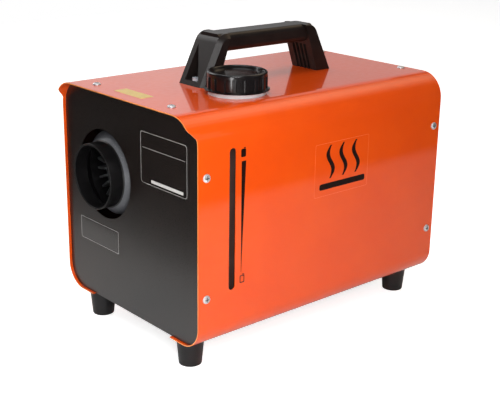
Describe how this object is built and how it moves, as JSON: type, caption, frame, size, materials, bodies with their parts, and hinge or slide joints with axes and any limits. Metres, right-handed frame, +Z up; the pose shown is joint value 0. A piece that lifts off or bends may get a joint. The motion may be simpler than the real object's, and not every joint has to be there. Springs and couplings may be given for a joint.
{
  "type": "portable diesel heater",
  "caption": "Portable air heater in a bent sheet case with a carrying handle, screw filler cap, level slot, duct spigot at one end and a control panel at the other.",
  "frame": {"origin": "on the floor under the middle of the whole object's box", "axes": "+X from the warm air outlet to the rear panel, +Y away from the level slot, +Z up"},
  "size_m": [0.403, 0.2548, 0.3375],
  "materials": {
    "powder_coated_sheet": "glossy orange powder coat",
    "black_coated_sheet": "satin black powder coat",
    "zinc_steel": "zinc plated",
    "foot_rubber": "matte",
    "handle_plastic": "fine moulded grain",
    "cap_plastic": "glossy black",
    "seal_rubber": "pale grey rubber",
    "gasket_rubber": "matte",
    "tank_plastic": "translucent natural polyethylene",
    "foam": "closed cell foam",
    "hood_plastic": "speckled heat resistant plastic",
    "jacket_plastic": "matte black",
    "cast_aluminium": "die cast",
    "burner_steel": "heat resisting sheet",
    "plug_metal": "plated",
    "sensor_metal": "plain",
    "motor_steel": "zinc plated can",
    "bearing_steel": "ground",
    "ferrite": "sintered",
    "copper_windings": "laminated core with windings",
    "shaft_steel": "ground",
    "impeller_plastic": "die cast",
    "fan_plastic": "moulded",
    "control_box_plastic": "moulded",
    "fibre_gasket": "fibre",
    "stainless_tube": "stainless steel",
    "intake_plastic": "moulded black",
    "pump_steel": "zinc plated",
    "plunger_steel": "ground",
    "clip_rubber": "matte",
    "filter_plastic": "clear nylon",
    "hose_rubber": "matte",
    "fuel_line_nylon": "natural nylon",
    "guard_steel": "black coated",
    "controller_plastic": "moulded black",
    "display_glass": "smoked clear",
    "board": "circuit board",
    "button_plastic": "moulded",
    "socket_plastic": "moulded black",
    "wire_jacket": "sleeved"
  },
  "bodies": {
    "case": {"cover": "powder_coated_sheet", "front_panel": "black_coated_sheet", "rear_panel": "black_coated_sheet", "floor_tray": "black_coated_sheet", "heater_bracket": "black_coated_sheet", "cover_screws": "zinc_steel", "foot_bolts": "zinc_steel", "handle_bolts": "zinc_steel", "lock_nuts": "zinc_steel", "heater_studs": "zinc_steel", "guard_screws": "zinc_steel", "hose_clamps": "zinc_steel", "feet": "foot_rubber", "handle": "handle_plastic", "neck_seal": "seal_rubber", "fuel_tank": "tank_plastic", "tank_pads": "foam", "outlet_hood": "hood_plastic", "jacket_lower": "jacket_plastic", "jacket_upper": "jacket_plastic", "inlet_grille": "jacket_plastic", "heat_exchanger": "cast_aluminium", "blower_casting": "cast_aluminium", "burner_tube": "burner_steel", "glow_plug": "plug_metal", "overheat_sensor": "sensor_metal", "motor_can": "motor_steel", "motor_bearings": "bearing_steel", "motor_magnets": "ferrite", "control_unit": "control_box_plastic", "mount_gasket": "fibre_gasket", "exhaust_pipe": "stainless_tube", "exhaust_outlet": "stainless_tube", "intake_pipe": "intake_plastic", "intake_silencer": "intake_plastic", "dosing_pump": "pump_steel", "pump_clip": "clip_rubber", "fuel_filter": "filter_plastic", "tank_hose": "hose_rubber", "pump_hose": "hose_rubber", "delivery_hose": "fuel_line_nylon", "inlet_guard": "guard_steel", "controller_case": "controller_plastic", "display_window": "display_glass", "control_board": "board", "power_inlet": "socket_plastic", "wiring_loom": "wire_jacket", "power_lead": "wire_jacket"},
    "rotor": {"motor_shaft": "shaft_steel", "armature": "copper_windings", "hot_air_fan": "fan_plastic", "combustion_fan": "impeller_plastic"},
    "cap_carrier": {"cap_gasket": "gasket_rubber"},
    "filler_cap": {"filler_cap": "cap_plastic"},
    "plunger": {"pump_plunger": "plunger_steel"},
    "button_up": {"button_up": "button_plastic"},
    "button_down": {"button_down": "button_plastic"},
    "button_left": {"button_left": "button_plastic"},
    "button_right": {"button_right": "button_plastic"},
    "button_ok": {"button_ok": "button_plastic"}
  },
  "joints": [
    {"name": "cap_lift", "type": "slide", "parent": "case", "child": "cap_carrier", "axis": [0, 0, 1], "range_m": [0, 0.008]},
    {"name": "cap_turn", "type": "hinge", "parent": "cap_carrier", "child": "filler_cap", "pos_m": [-0.082, -0.057, 0.2955], "axis": [0, 0, 1], "range_deg": [0, 720]},
    {"name": "fan_spin", "type": "hinge", "parent": "case", "child": "rotor", "pos_m": [0.056, 0.0475, 0.1848], "axis": [1, 0, 0], "continuous": true},
    {"name": "button_up_press", "type": "slide", "parent": "case", "child": "button_up", "axis": [-1, 0, 0], "range_m": [0, 0.001], "stiffness_N_per_m": 300},
    {"name": "button_down_press", "type": "slide", "parent": "case", "child": "button_down", "axis": [-1, 0, 0], "range_m": [0, 0.001], "stiffness_N_per_m": 300},
    {"name": "button_left_press", "type": "slide", "parent": "case", "child": "button_left", "axis": [-1, 0, 0], "range_m": [0, 0.001], "stiffness_N_per_m": 300},
    {"name": "button_right_press", "type": "slide", "parent": "case", "child": "button_right", "axis": [-1, 0, 0], "range_m": [0, 0.001], "stiffness_N_per_m": 300},
    {"name": "button_ok_press", "type": "slide", "parent": "case", "child": "button_ok", "axis": [-1, 0, 0], "range_m": [0, 0.001], "stiffness_N_per_m": 300},
    {"name": "plunger_stroke", "type": "slide", "parent": "case", "child": "plunger", "axis": [-1, 0, 0], "range_m": [0, 0.004], "stiffness_N_per_m": 500}
  ],
  "couplings": [
    {"joint": "cap_lift", "follows": "cap_turn", "m_per_rad": 0.00063662}
  ]
}
